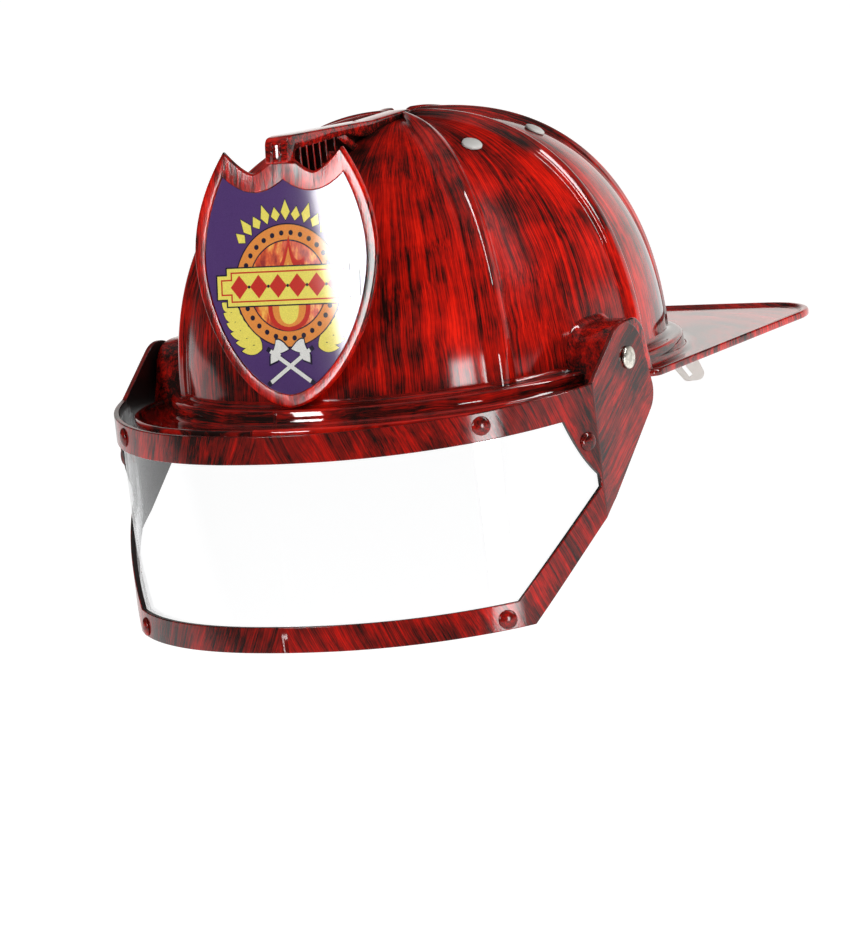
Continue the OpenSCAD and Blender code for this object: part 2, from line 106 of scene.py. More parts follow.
SIDES = ((1, "left"), (-1, "right"))
TOUCH = 0.1                 # gap left between faces that would otherwise coincide
SAME = 1e-6                 # heights closer than this are one height
RIM_ANGLE = 0.5             # faces that meet at less than this many radians are left alone


# ---- curves ----
def powered(v, e):
    return np.sign(v) * np.abs(v) ** (2 / e)


def plan(a, hw, hl, e=PLAN_E):
    """Points of a rounded plan at angles a from the front towards the wearer's left."""
    return np.stack([hw * powered(np.sin(a), e), -hl * powered(np.cos(a), e)], -1)


def bezier(a, b, c, n):
    t = np.linspace(0, 1, n + 1)[:, None]
    a, b, c = (np.array(p, float) for p in (a, b, c))
    return (1 - t) ** 2 * a + 2 * t * (1 - t) * b + t * t * c


def arc(centre, r, start, end, n):
    t = np.radians(np.linspace(start, end, n + 1))
    return np.array(centre) + r * np.stack([np.cos(t), np.sin(t)], -1)


def whole(half):
    """A closed outline from its half on the wearer's left, which runs from middle to middle."""
    return np.concatenate([half, half[-2:0:-1] * [-1, 1]])


def smooth(t):
    t = np.clip(t, 0, 1)
    return t * t * (3 - 2 * t)


def dense(points, step, closed=True):
    """The same outline, with a point at least every step."""
    points = np.asarray(points, float)
    ends = np.roll(points, -1, 0) if closed else points[1:]
    out = []
    for a, b in zip(points, ends):
        n = max(1, math.ceil(np.linalg.norm(b - a) / step))
        out += [a + (b - a) * k / n for k in range(n)]
    return np.array(out if closed else out + [points[-1]])


# ---- meshes ----
def quads(rows, n, closed=True):
    """Faces between rows of n points."""
    return [[i * n + j, i * n + (j + 1) % n, (i + 1) * n + (j + 1) % n, (i + 1) * n + j]
            for i in range(rows - 1) for j in range(n if closed else n - 1)]


class Build:
    """Gathers vertices with their grain and faces with their material, and becomes one object."""

    def __init__(self):
        self.points, self.grain, self.gloss, self.faces, self.slots = [], [], [], [], []
        self.count = 0

    def add(self, points, faces, grain=None, slot=0, gloss=None):
        points = np.asarray(points, float).reshape(-1, 3)
        self.gloss.append(np.ones(len(points)) if gloss is None else gloss)
        self.points.append(points)
        self.grain.append(points if grain is None else np.asarray(grain, float).reshape(-1, 3))
        slots = slot if isinstance(slot, list) else [slot] * len(faces)
        self.faces += [[i + self.count for i in f] for f in faces]
        self.slots += slots
        self.count += len(points)

    def rings(self, rings, grains, pole_start, pole_end, gloss=None):
        """A skin through closed rings, each with the same number of points, and a point at either end."""
        n, m = len(rings[0]), len(rings)
        points, grain = [p for r in rings for p in r], [g for r in grains for g in r]
        shine = None if gloss is None else list(np.concatenate(gloss))
        faces = quads(m, n)
        for pole, ring in ((pole_start, 0), (pole_end, m - 1)):
            points.append(pole)
            grain.append(np.mean(grains[ring], 0))
            if shine:
                shine.append(shine[ring * n])
            tip = len(points) - 1
            way = -1 if ring else 1
            faces += [[tip, ring * n + (j + 1) % n, ring * n + j][::way] for j in range(n)]
        self.add(points, faces, grain, gloss=shine)

    def finished(self, name, materials, body, replaced=(), flat_faces=False, soft=True):
        mesh = bpy.data.meshes.new(name)
        mesh.from_pydata((np.concatenate(self.points) * MM).tolist(), [], self.faces)
        for m in materials:
            mesh.materials.append(m)
        mesh.polygons.foreach_set("material_index", self.slots)
        mesh.polygons.foreach_set("use_smooth", [soft] * len(self.faces))
        layer = mesh.attributes.new("grain", "FLOAT_VECTOR", "POINT")
        layer.data.foreach_set("vector", np.concatenate(self.grain).astype(np.float32).ravel())
        layer = mesh.attributes.new("gloss", "FLOAT", "POINT")
        layer.data.foreach_set("value", np.concatenate(self.gloss).astype(np.float32))
        mesh.validate()
        bm = bmesh.new()
        bm.from_mesh(mesh)
        bmesh.ops.recalc_face_normals(bm, faces=bm.faces)
        bm.to_mesh(mesh)
        bm.free()
        obj = linked(name, mesh)
        if flat_faces:
            weighted = obj.modifiers.new("flat_faces", "WEIGHTED_NORMAL")
            weighted.keep_sharp = True
        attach(obj, body)
        if replaced:
            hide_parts(*replaced)


def linked(name, data):
    obj = bpy.data.objects.new(name, data)
    bpy.context.scene.collection.objects.link(obj)
    return obj


def slab(outline, depth, rim):
    """A flat plate: outline in (X, Z), Y from 0 to depth, with its rims rounded. Returns a bmesh."""
    bm = bmesh.new()
    face = bm.faces.new([bm.verts.new((x, 0, z)) for x, z in outline])
    thicken(bm, [face], depth)
    round_rims(bm, depth, rim)
    return bm


def thicken(bm, faces, depth):
    made = bmesh.ops.extrude_face_region(bm, geom=faces, use_keep_orig=True)
    verts = [g for g in made["geom"] if isinstance(g, bmesh.types.BMVert)]
    bmesh.ops.translate(bm, vec=(0, depth, 0), verts=verts)
    bmesh.ops.recalc_face_normals(bm, faces=bm.faces)


def round_rims(bm, depth, rim):
    """Bevels the sharp edges of a plate's front and back faces."""
    def on_rim(e):
        ys = [v.co.y for v in e.verts]
        if abs(ys[0] - ys[1]) > SAME or len(e.link_faces) != 2 or e.calc_face_angle(0) < RIM_ANGLE:
            return False
        return abs(ys[0]) < SAME or abs(ys[0] - depth) < SAME
    edges = [e for e in bm.edges if on_rim(e)]
    bmesh.ops.bevel(bm, geom=edges, offset=rim, segments=2, profile=0.5, affect="EDGES", clamp_overlap=True)


def from_bmesh(build, bm, place, grain, slots=None):
    """Adds a bmesh to build, with place() and grain() applied to its array of points."""
    bm.verts.ensure_lookup_table()
    points = np.array([v.co[:] for v in bm.verts])
    faces = [[v.index for v in f.verts] for f in bm.faces]
    slot = [slots(f) for f in bm.faces] if slots else 0
    build.add(place(points), faces, grain(points), slot)
    bm.free()


# ---- materials ----
class Nodes:
    """A short way to write the nodes of a material or a world."""

    def __init__(self, name, owner=None):
        self.material = owner or bpy.data.materials.new(name)
        self.material.use_nodes = True
        self.tree = self.material.node_tree
        self.shader = self.tree.nodes["Background" if owner else "Principled BSDF"]

    def add(self, kind, inputs=None, **settings):
        node = self.tree.nodes.new("ShaderNode" + kind)
        for key, value in settings.items():
            setattr(node, key, value)
        for key, value in (inputs or {}).items():
            self.feed(node.inputs[key], value)
        return node

    def set(self, **inputs):
        for key, value in inputs.items():
            self.feed(self.shader.inputs[key.replace("_", " ")], value)

    def feed(self, socket, value):
        if isinstance(value, bpy.types.NodeSocket):
            self.tree.links.new(value, socket)
        else:
            socket.default_value = value

    def noise(self, vector, scale, detail=2.0, roughness=0.5):
        return self.add("TexNoise", {"Vector": vector, "Scale": scale, "Detail": detail,
                                     "Roughness": roughness}).outputs["Fac"]

    def math(self, operation, a, b=0.0):
        return self.add("Math", {0: a, 1: b}, operation=operation).outputs[0]

    def ramp(self, value, stops):
        node = self.add("ValToRGB", {"Fac": value})
        elements = node.color_ramp.elements
        while len(elements) < len(stops):
            elements.new(0.5)
        for element, (at, colour) in zip(elements, stops):
            element.position = at
            element.color = (*colour, 1)
        return node.outputs["Color"]

    def spread(self, value, low, high):
        """value, from 0 to 1, spread over low to high."""
        return self.span(value, 0.0, 1.0, low, high)

    def span(self, value, start, end, low=0.0, high=1.0):
        """value, from start to end, spread over low to high."""
        return self.add("MapRange", {"Value": value, "From Min": start, "From Max": end, "To Min": low,
                                     "To Max": high}).outputs["Result"]

    def bump(self, height, distance, socket="Normal"):
        """Relief of the surface, or of its coat, distance mm high."""
        relief = self.add("Bump", {"Height": height, "Distance": distance * MM})
        self.set(**{socket: relief.outputs["Normal"]})

    def place(self):
        return self.add("TexCoord").outputs["Object"]

    def carried(self, name, output):
        """A value that the mesh carries at each point."""
        return self.add("Attribute", attribute_name=name).outputs[output]


def two_tone(n, value, dark_at, shade, at, colour):
    """colour, and a darker shade of it where value is low."""
    n.set(Base_Color=n.ramp(value, [(dark_at, tuple(c * shade for c in colour)), (at, colour)]))


def brushed_red(name, cover=0.0, coat=1.0, polish=0.04, contrast=1.0):
    """Glossy red with dark strokes dragged over it, and painted shade that darkens it in corners and
    creases.
    cover shifts it towards the dark colour, and polish is the roughness of its coat."""
    n = Nodes(name)
    grain = n.carried("grain", "Vector")
    place = n.place()
    drift = n.add("TexNoise", {"Vector": place, "Scale": 26.0, "Detail": 2.0}).outputs["Color"]
    bend = n.add("VectorMath", {0: drift, 1: (5.0, 5.0, 2.0)}, operation="MULTIPLY").outputs[0]
    path = n.add("VectorMath", {0: grain, 1: bend}, operation="ADD").outputs[0]
    hair = n.noise(path, 2.0, 3.0, 0.7)
    stroke = n.noise(path, 0.62, 3.0, 0.6)
    dab = n.noise(path, 0.16, 2.0, 0.5)
    patch = n.noise(place, 38.0, 4.0, 0.62)
    # painted shade: ambient occlusion darkens the red in corners, creases and under overhangs
    corners = n.add("AmbientOcclusion", {"Distance": 0.016}, samples=6, only_local=True).outputs["AO"]
    mixed = n.math("MULTIPLY", hair, 0.5)
    for layer, share in ((stroke, 0.42), (dab, 0.3), (patch, 0.55), (corners, 0.3)):
        mixed = n.math("ADD", mixed, n.math("MULTIPLY", layer, share))
    mixed = n.math("SUBTRACT", mixed, 0.675)
    mixed = n.spread(mixed, 0.5 - contrast / 2 - cover, 0.5 + contrast / 2 - cover)
    n.set(Base_Color=n.ramp(mixed, [(0.33, (0.014, 0.004, 0.003)), (0.41, (0.16, 0.006, 0.004)),
                                    (0.5, (0.47, 0.007, 0.003)), (0.64, (0.86, 0.014, 0.004))]))
    gloss = n.carried("gloss", "Fac")
    n.set(Roughness=n.spread(stroke, 0.65, 0.5), Specular_IOR_Level=0.02)
    n.set(Coat_Weight=n.spread(gloss, 0.1, coat), Coat_Roughness=n.spread(gloss, 0.26, polish))
    ridges = n.math("ADD", hair, n.math("MULTIPLY", stroke, 2.0))
    n.bump(ridges, 0.03)
    n.bump(ridges, 0.005, "Coat_Normal")
    return n.material


def bare_black():
    n = Nodes("bare_black")
    place = n.place()
    n.set(Base_Color=n.ramp(n.noise(place, 60.0, 3.0), [(0.3, (0.006, 0.006, 0.006)),
                                                        (0.7, (0.014, 0.012, 0.012))]))
    n.set(Roughness=n.spread(n.noise(place, 300.0), 0.3, 0.5))
    n.bump(n.noise(place, 1500.0, 2.0), 0.01)
    return n.material


def clear_film():
    """Thin clear sheet with faint waves: it lets everything through but a mirror share at each face."""
    n = Nodes("clear_film")
    grain = n.carried("grain", "Vector")
    rubs = n.noise(grain, 1.4, 2.0)
    n.set(Base_Color=(0.9, 0.91, 0.92, 1), Metallic=1.0)
    n.set(Roughness=n.ramp(rubs, [(0.5, (0.012, 0.012, 0.012)), (0.8, (0.07, 0.07, 0.07))]))
    n.bump(n.noise(grain, 0.07, 1.0, 0.4), 0.2)
    grazing = n.math("POWER", n.add("LayerWeight", {"Blend": 0.5}).outputs["Facing"], 4.0)
    mirror = n.spread(grazing, 0.03, 0.6)
    clear = n.add("BsdfTransparent", {"Color": (0.988, 0.99, 0.992, 1)})
    mix = n.add("MixShader", {0: mirror, 1: clear.outputs[0], 2: n.shader.outputs[0]})
    n.tree.links.new(mix.outputs[0], n.tree.nodes["Material Output"].inputs["Surface"])
    return n.material


def natural_plastic(name, colour, see_through):
    n = Nodes(name)
    place = n.place()
    two_tone(n, n.noise(place, 90.0, 3.0), 0.35, 0.86, 0.65, colour)
    n.set(Roughness=n.spread(n.noise(place, 400.0), 0.28, 0.5), IOR=1.48, Transmission_Weight=see_through)
    n.bump(n.noise(place, 260.0, 2.0), 0.05)
    return n.material


def nickel(name, colour, rough):
    n = Nodes(name)
    place = n.place()
    wear = n.noise(place, 420.0, 4.0, 0.65)
    two_tone(n, wear, 0.38, 0.6, 0.55, colour)
    n.set(Roughness=n.spread(wear, rough + 0.16, rough), Metallic=1.0)
    n.bump(n.noise(place, 900.0, 3.0), 0.02)
    return n.material


def ink(name, colour):
    """Printed colour under gloss film, with a faint print grain."""
    n = Nodes(name)
    place = n.place()
    two_tone(n, n.noise(place, 2600.0, 2.0, 0.7), 0.35, 0.82, 0.65, colour)
    n.set(Roughness=n.spread(n.noise(place, 120.0), 0.4, 0.6), Coat_Weight=1.0, Coat_Roughness=0.03,
          Specular_IOR_Level=0.05)
    n.bump(n.noise(place, 700.0, 2.0), 0.004)
    return n.material


def flame_ink():
    """Fire colours that rise from yellow to deep red."""
    n = Nodes("flame_ink")
    place = n.place()
    licks = n.noise(n.add("Mapping", {"Vector": place, "Scale": (260.0, 260.0, 110.0)}).outputs[0],
                    1.0, 4.0, 0.6)
    n.set(Base_Color=n.ramp(licks, [(0.36, (0.30, 0.012, 0.008)), (0.5, (0.72, 0.09, 0.02)),
                                    (0.64, (0.95, 0.5, 0.08))]))
    n.set(Roughness=0.5, Coat_Weight=1.0, Coat_Roughness=0.05, Specular_IOR_Level=0.05)
    return n.material


RED = brushed_red("brushed_red", 0.055)
PLATE_RED = brushed_red("visor_red", 0.11, 0.8, 0.13, 0.62)
SHIELD_RED = brushed_red("shield_red", 0.04, 0.6, 0.08)
BLACK = bare_black()
FILM = clear_film()
PEG = natural_plastic("peg_plastic", (0.72, 0.71, 0.68), 0.15)
STRAP = natural_plastic("strap_plastic", (0.82, 0.80, 0.76), 0.55)
RIVET = nickel("pivot_nickel", (0.80, 0.76, 0.68), 0.2)
STEEL = nickel("clip_steel", (0.55, 0.55, 0.54), 0.3)
NAVY = ink("label_navy", (0.085, 0.036, 0.17))
INK_BLACK = ink("label_black", (0.012, 0.008, 0.03))
YELLOW = ink("label_yellow", (0.93, 0.80, 0.14))
ORANGE = ink("label_orange", (0.86, 0.30, 0.06))
INK_RED = ink("label_red", (0.62, 0.03, 0.02))
INK_WHITE = ink("label_white", (0.85, 0.85, 0.82))
FLAME = flame_ink()


# ---- shell ----
PLAN_R = 90.0               # radius that the strokes' spacing is measured at
ALONG = 0.032               # how slowly grain changes along a stroke
CROWN_B = math.radians(89.3)    # height angle of the smallest ring, next to the crown
LEAF_R = 9                  # ribs rise and widen within about this distance of the axis


def direction_radius(phi, hw, hl):
    """Distance from the axis to the dome's plan curve in the direction phi from the front."""
    return ((np.abs(np.sin(phi)) / hw) ** PLAN_E + (np.abs(np.cos(phi)) / hl) ** PLAN_E) ** (-1 / PLAN_E)


def ring_size(b):
    return powered(np.cos(b), HEIGHT_E)


def rib_direction(degrees):
    x, y = plan(np.radians([degrees]), DOME_W, DOME_L)[0]
    return math.atan2(x, -y) % (2 * math.pi)


RIB_DIRECTIONS = [rib_direction(a) for a in RIB_AT]
# Across a rib: distance past its half width, and the share of its height there
RIB_SECTION = [(-1.0, 1.0), (-0.8, 0.995), (-0.62, 0.96), (-0.46, 0.88), (-0.23, 0.72)]
RIB_FLANK = [(0.0, 0.555), (0.2, 0.5), (0.4, 0.38), (0.62, 0.18), (0.95, 0.06), (1.5, 0.012), (2.2, 0.0)]
RIB_FRONT_SPREAD = 2.2      # the flank towards the front is this much wider
PANEL_STEPS = 40
FOOT_GLOSS_B = 0.34         # height angle under which a panel's foot shines
REAR_GLOSS_FROM = 1.62      # angle from the front past which the dome shines


def rib_half(r):
    """Half width of a rib where its ring's radius is r: a leaf that starts at a point on the crown."""
    return RIB_HALF_W * (1 - math.exp(-r / LEAF_R)) + 0.35 * r / PLAN_R


def ring_columns(b):
    """Directions round the ring at height angle b, and the rib's share of height at each."""
    r = float(ring_size(b)) * PLAN_R
    w = rib_half(r)
    top = [(w * (1 + t), h) for t, h in RIB_SECTION]
    rear = top + [(w + t * min(1, w), h) for t, h in RIB_FLANK]
    front = top + [(w + t * min(RIB_FRONT_SPREAD, w), h) for t, h in RIB_FLANK]
    squeeze = min(1, 0.3 * r / front[-1][0])
    flanks = []
    for at, centre in zip(RIB_AT, RIB_DIRECTIONS):
        turn = squeeze / (float(direction_radius(centre, DOME_W, DOME_L)) * float(ring_size(b)))
        before, after = front if 0 < at < 180 else rear, front if at > 180 else rear
        flanks.append(([(d * turn, h) for d, h in before], [(d * turn, h) for d, h in after]))
    out = []
    for k, (centre, (before, after)) in enumerate(zip(RIB_DIRECTIONS, flanks)):
        following = (k + 1) % len(RIB_AT)
        raised = 1 if RIB_AT[k] else 0
        out += [(centre - a, h * raised) for a, h in before[:0:-1]]
        out += [(centre + a, h * raised) for a, h in after]
        start = centre + after[-1][0]
        span = (RIB_DIRECTIONS[following] - start) % (2 * math.pi) - flanks[following][0][-1][0]
        out += [(start + span * i / PANEL_STEPS, 0) for i in range(1, PANEL_STEPS)]
    return np.array(out)


def dome_point(phi, b, out):
    """Points of the dome in directions phi at height angle b, grown by out."""
    r = direction_radius(phi, DOME_W + out, DOME_L + out) * ring_size(b)
    return flat_ring(phi, r, (DOME_H + out) * powered(np.sin(b), HEIGHT_E))


def flat_ring(phi, r, z):
    return np.stack([r * np.sin(phi), -r * np.cos(phi), np.broadcast_to(z, phi.shape)], -1)


def dome_u(z):
    """Share of the dome's plan at height z."""
    return (1 - np.clip(z / DOME_H, 0, 1) ** HEIGHT_E) ** (1 / HEIGHT_E)


def dome_z(u, height=DOME_H):
    """Height of the dome where its plan has shrunk to the share u."""
    return height * (1 - u ** HEIGHT_E) ** (1 / HEIGHT_E)


def dome_side_x(y, z):
    """Half width of the dome at a point of its side view."""
    rest = np.clip(dome_u(z) ** PLAN_E - (np.abs(y) / DOME_L) ** PLAN_E, 0, None)
    return DOME_W * rest ** (1 / PLAN_E)


def from_front(phi):
    """Angle between phi and the front, from 0 to pi, to either side."""
    return np.abs((phi + math.pi) % (2 * math.pi) - math.pi)


def brim_half(d):
    """Left half of the brim's outline set in by d, from the front to the rear."""
    front = plan(np.radians(np.linspace(0, 90, 60)), BRIM_HALF_W - d, BRIM_FRONT + VISOR_MID - d, 2.2)
    front[:, 1] += VISOR_MID
    step = arc([TAIL_HALF_W - NOTCH_R, NOTCH_Y + NOTCH_R + d], NOTCH_R - min(d, 3), -90, 0, 6)
    turn_x = TAIL_HALF_W - TAIL_TAPER - TAIL_CORNER
    corner = arc([turn_x, TAIL_L - 2 - TAIL_CORNER], TAIL_CORNER - d, -2, 88, 24)
    rear = bezier([turn_x - 2, TAIL_L - d - 1.8], [30, TAIL_L - d], [0, TAIL_L - d], 20)
    return np.concatenate([front, step, corner, rear])


def brim_radius(phi, d):
    """Distance from the axis to the brim's outline, set in by d, in directions phi."""
    half = dense(brim_half(d), 0.8, closed=False)
    angle = np.arctan2(half[:, 0], -half[:, 1])
    return np.interp(from_front(phi), angle, np.hypot(half[:, 0], half[:, 1]))


def around(phi, across, seed=40.0):
    """Grain for strokes that run round the helmet."""
    return np.stack([np.broadcast_to(across, phi.shape), np.full_like(phi, seed), phi * PLAN_R * ALONG], -1)


def panel_gloss(phi, share, b):
    """The panels are dull, but the ribs, the panels' feet and the rear of the dome shine."""
    at_foot = np.full_like(phi, 0.68 * smooth((FOOT_GLOSS_B - b) * 7))
    at_rear = smooth((from_front(phi) - REAR_GLOSS_FROM) * 8)
    return np.maximum.reduce([smooth(share * 25), at_foot, at_rear])


def shell_skin(build):
    foot_b = math.asin((BAND_H + 2.2) ** (HEIGHT_E / 2) / DOME_H ** (HEIGHT_E / 2))
    rings, grains, gloss = [], [], []
    for b in np.linspace(CROWN_B, foot_b, 90):
        phi, share = ring_columns(b).T
        gloss.append(panel_gloss(phi, share, b))
        p = dome_point(phi, b, 0)
        raised = dome_point(phi, b, RIB_H * smooth(float(ring_size(b)) * PLAN_R / LEAF_R))
        rings.append(p + (raised - p) * share[:, None])
        down = np.full_like(phi, b * PLAN_R * ALONG)
        grains.append(np.stack([PLAN_R * np.sin(phi), PLAN_R * np.cos(phi), down], -1))
    # hat band: [height, how far it stands off the dome]
    section = [(BAND_H + 1.3, 0.12), (BAND_H + 0.7, 0.5), (BAND_H + 0.25, 1.15), (BAND_H + 0.06, 2.0),
               (BAND_H, 3.2), (BAND_H, BAND_OUT - 1.5), (BAND_H - 0.12, BAND_OUT - 0.8),
               (BAND_H - 0.45, BAND_OUT - 0.28), (BAND_H - 1.0, BAND_OUT), (2.6, BAND_OUT + 0.08),
               (1.5, BAND_OUT + 0.2), (0.8, BAND_OUT + 0.5), (0.3, BAND_OUT + 1.0), (0.0, BAND_OUT + 1.8)]
    phi, share = ring_columns(foot_b).T
    travelled = 0.0
    for i, (z, out) in enumerate(section):
        out = np.maximum(out, RIB_H * share * (1 if i < 4 else 0))
        r = direction_radius(phi, DOME_W + out, DOME_L + out) * dome_u(z)
        rings.append(flat_ring(phi, r, z))
        travelled += 1.3
        grains.append(around(phi, travelled))
    inner_r = np.hypot(rings[-1][:, 0], rings[-1][:, 1])
    # brim: [distance in from its outline, height]
    lip = [(LIP_W + 1.6, 0.0), (LIP_W + 0.7, 0.1), (LIP_W + 0.1, 0.42), (LIP_W - 0.35, 0.85),
           (LIP_W - 0.85, LIP_H - 0.06), (LIP_W - 1.4, LIP_H), (1.0, LIP_H), (0.42, LIP_H - 0.16),
           (0.1, LIP_H - 0.55), (0.0, LIP_H - 1.1), (0.0, -BRIM_T + 0.6), (0.15, -BRIM_T + 0.2),
           (0.6, -BRIM_T)]
    lip_r = brim_radius(phi, lip[0][0])
    for t in np.linspace(0, 1, 9)[1:-1]:
        rings.append(flat_ring(phi, inner_r + (lip_r - inner_r) * t, 0.0))
        grains.append(around(phi, travelled + t * (lip_r - inner_r)))
    for d, z in lip:
        rings.append(flat_ring(phi, brim_radius(phi, d), z))
        grains.append(around(phi, travelled + (lip_r - inner_r) + 5 - d))
    under_r = brim_radius(phi, lip[-1][0])
    wall_r = direction_radius(phi, DOME_W - WALL, DOME_L - WALL)
    for t in np.linspace(0, 1, 9)[1:]:
        rings.append(flat_ring(phi, under_r + (wall_r + 0.5 - under_r) * t, -BRIM_T))
        grains.append(around(phi, 90 + t * (under_r - wall_r)))
    painted = len(rings)
    for b in np.concatenate([[-0.004], np.linspace(0.02, CROWN_B, 44)]):
        p = dome_point(phi, max(b, 0), -WALL)
        if b < 0:
            p[:, 2] = -BRIM_T + 0.5
        rings.append(p)
        grains.append(around(phi, 10 + b * PLAN_R, 80.0))
    n = len(rings[0])
    gloss += [np.ones(n)] * (len(rings) - len(gloss))
    top, inside_top = [0, 0, DOME_H + RIB_H * 0.3], [0, 0, DOME_H - WALL]
    build.rings(rings, grains, top, inside_top, gloss=gloss)
    bare = [*range((painted - 1) * n, (len(rings) - 1) * n), *range(len(build.slots) - n, len(build.slots))]
    for i in bare:
        build.slots[i] = 1


BOSS_SIDE = [[-37.5, -1.2], [-31.5, 17], [-28, 20.6], [-22, 21.8], [-13, 21.8], [-8.5, 18], [-4, -1.2]]
BOSS_FACE = PLATE_OUT - FRAME_T - 0.6
BOSS_FILLET = 2.6
BOSS_ROUND = 0.9


def rounded(points, radius, steps=4):
    """An open outline with its inner corners rounded."""
    points = np.asarray(points, float)
    out = [points[0]]
    for a, b, c in zip(points[:-2], points[1:-1], points[2:]):
        back, on = a - b, c - b
        r = min(radius, 0.45 * np.linalg.norm(back), 0.45 * np.linalg.norm(on))
        out += list(bezier(b + back / np.linalg.norm(back) * r, b, b + on / np.linalg.norm(on) * r, steps))
    return np.array(out + [points[-1]])


def bosses(build):
    """Blocks that carry the pivots. Each runs out of the dome on a hollow fillet."""
    line = dense(rounded(BOSS_SIDE, 2.2, 5), 1.2, closed=False)
    step = np.gradient(line, axis=0)
    normal = np.stack([-step[:, 1], step[:, 0]], -1)
    normal /= np.linalg.norm(normal, axis=1)[:, None]
    rows = []
    for a in np.radians(np.linspace(90, 0, 7)):
        q = line + normal * BOSS_FILLET * (1 - math.cos(a))
        rows.append((q, dome_side_x(q[:, 0], q[:, 1]) + BOSS_FILLET * (1 - math.sin(a)) - 0.06))
    root = rows[-1][1]
    for t in (0.33, 0.66, 1.0):
        rows.append((line, root + (BOSS_FACE - BOSS_ROUND - root) * t))
    centre = line.mean(0)
    for a in np.radians([30, 60, 90]):
        rows.append((line - normal * BOSS_ROUND * (1 - math.cos(a)),
                     np.full(len(line), BOSS_FACE - BOSS_ROUND + BOSS_ROUND * math.sin(a))))
    for shrink in (0.8, 0.5, 0.2):
        q = centre + (line - normal * BOSS_ROUND - centre) * shrink
        rows.append((q, np.full(len(line), BOSS_FACE)))
    for side in (1, -1):
        points = np.array([[[side * x, y, z] for (y, z), x in zip(q, xs)] for q, xs in rows])
        flat = points.reshape(-1, 3)
        build.add(flat, quads(*points.shape[:2], closed=False), flat * [0.5, 1.0, 0.25] + [0, 0, 60])


BEAK_HALF_W = 4.7
BEAK_FRONT = -87.6
BEAK_SIDE = [[2, 96], [2, DOME_H + 2.3], [-24, 100.1], [BEAK_FRONT + 5, 103.6], [BEAK_FRONT + 1.6, 103.2],
             [BEAK_FRONT + 0.2, 101.4], [BEAK_FRONT - 0.8, 94.0], [-82.6, 93.2], [-81, 97.8], [-46, 97.6],
             [-22, 93]]
WEB_SIDE = [[-20, 88], [-30, 97], [-46, 98], [-81.6, 98.2], [-82.5, 88], [-94.5, 12],
            [-94.3, BAND_H - 1], [-80, BAND_H - 1], [-80, 40]]
BRACE_SIDE = [[-24, 90], [-33, 86], [-52, 97.9], [-46, 97.9], [-34, 90.5], [-26, 94]]
FIN_YS = [-78, -73.5, -69, -64.5, -60, -54]
FIN_T = 1.1


def side_plate(build, outline, x0, x1, rim, stretch=(0.25, 1.0, 1.0), wobble=0.0):
    """An outline in (Y, Z) made into a plate from x0 to x1."""
    bm = slab(np.asarray(outline, float), x1 - x0, rim)
    from_bmesh(build, bm, lambda p: np.stack([x0 + p[:, 1], p[:, 0], p[:, 2]], -1),
               lambda p: np.stack([p[:, 1], p[:, 0], p[:, 2]], -1) * stretch + [0, 0, 20 + wobble])


def over_wall(outline):
    """An outline in (Y, Z) whose foot ends in the middle of the dome's wall, not inside the dome."""
    p = dense(np.asarray(outline, float), 3.0)
    share = np.clip(np.abs(p[:, 0]) / (DOME_L - WALL / 2), 0, 1)
    p[:, 1] = np.maximum(p[:, 1], dome_z(share, DOME_H - WALL / 2))
    return p[np.linalg.norm(p - np.roll(p, 1, axis=0), axis=1) > 0.05]


def beak(build):
    """The bar from the crown to the shield, its hollow-looking ribs and the web under it."""
    bar = over_wall(rounded(BEAK_SIDE + BEAK_SIDE[:1], 1.2, 4)[:-1])
    side_plate(build, bar, -BEAK_HALF_W, BEAK_HALF_W, 0.8)
    side_plate(build, over_wall(WEB_SIDE), -1.5, 1.5, 0.3)
    side_plate(build, over_wall(BRACE_SIDE), -BEAK_HALF_W + 0.3, BEAK_HALF_W - 0.3, 0.5)
    for y in FIN_YS:
        foot = 80 + (y + 78) * 0.55
        rear, front = y + FIN_T / 2, y - FIN_T / 2
        outline = [[front, foot], [rear, foot], [rear, 98.5], [front, 98.5]]
        side_plate(build, over_wall(outline), -BEAK_HALF_W + 0.1, BEAK_HALF_W - 0.1, 0.25, (1, 1, 0.2), y)
    # two raised strips on the block's front face
    for x in (-1.7, 1.7):
        strip = [[BEAK_FRONT - 0.95, 94.2], [BEAK_FRONT - 0.1, 101.4], [BEAK_FRONT + 1, 101.4],
                 [BEAK_FRONT + 1, 94.2]]
        side_plate(build, strip, x - 0.55, x + 0.55, 0.2)


def shell():
    build = Build()
    shell_skin(build)
    bosses(build)
    beak(build)
    build.finished("shell_moulding", [RED, BLACK], "helmet", ["shell"])


# ---- front shield ----
def shield_place(points):
    """From (X across, Y into the helmet, Z up the face) to the helmet's frame."""
    return SHIELD_FOOT + points @ np.array([[1, 0, 0], SHIELD_IN, SHIELD_UP])


def shield_half(hw, foot, wide, horn, notch, foot_e, notch_e, slot=1e9):
    """Half outline from foot to horn and in to the middle, cut off at height slot inside the notch."""
    a = np.radians(np.linspace(0, 90, 31))
    low = np.stack([hw * powered(np.sin(a), foot_e),
                    wide - (wide - foot) * powered(np.cos(a), foot_e)], -1)
    t = np.linspace(0, 1, 13)[1:-1]
    side = np.stack([hw - (hw - horn[0]) * t * t, wide + (horn[1] - wide) * t], -1)
    x = horn[0] * (1 - np.linspace(0, 1, 21))
    z = notch[1] + (horn[1] - notch[1]) * (np.abs(x - notch[0]) / (horn[0] - notch[0])) ** notch_e
    return np.concatenate([low, side, np.stack([x, np.where(x < notch[0], np.minimum(z, slot), z)], -1)])


def shield_outline(d):
    return shield_half(38.6 - d, d, 56, (25.2 - d, 93.2 - 1.6 * d), (12.8, 84.8 - d), 1.75, 1.5, 90.9 - d)


def label_outline(d):
    return shield_half(34 - d, 4.8 + d, 54, (25.5 - d, 84 - 1.4 * d), (11.7, 77.9 - d), 1.75, 2)


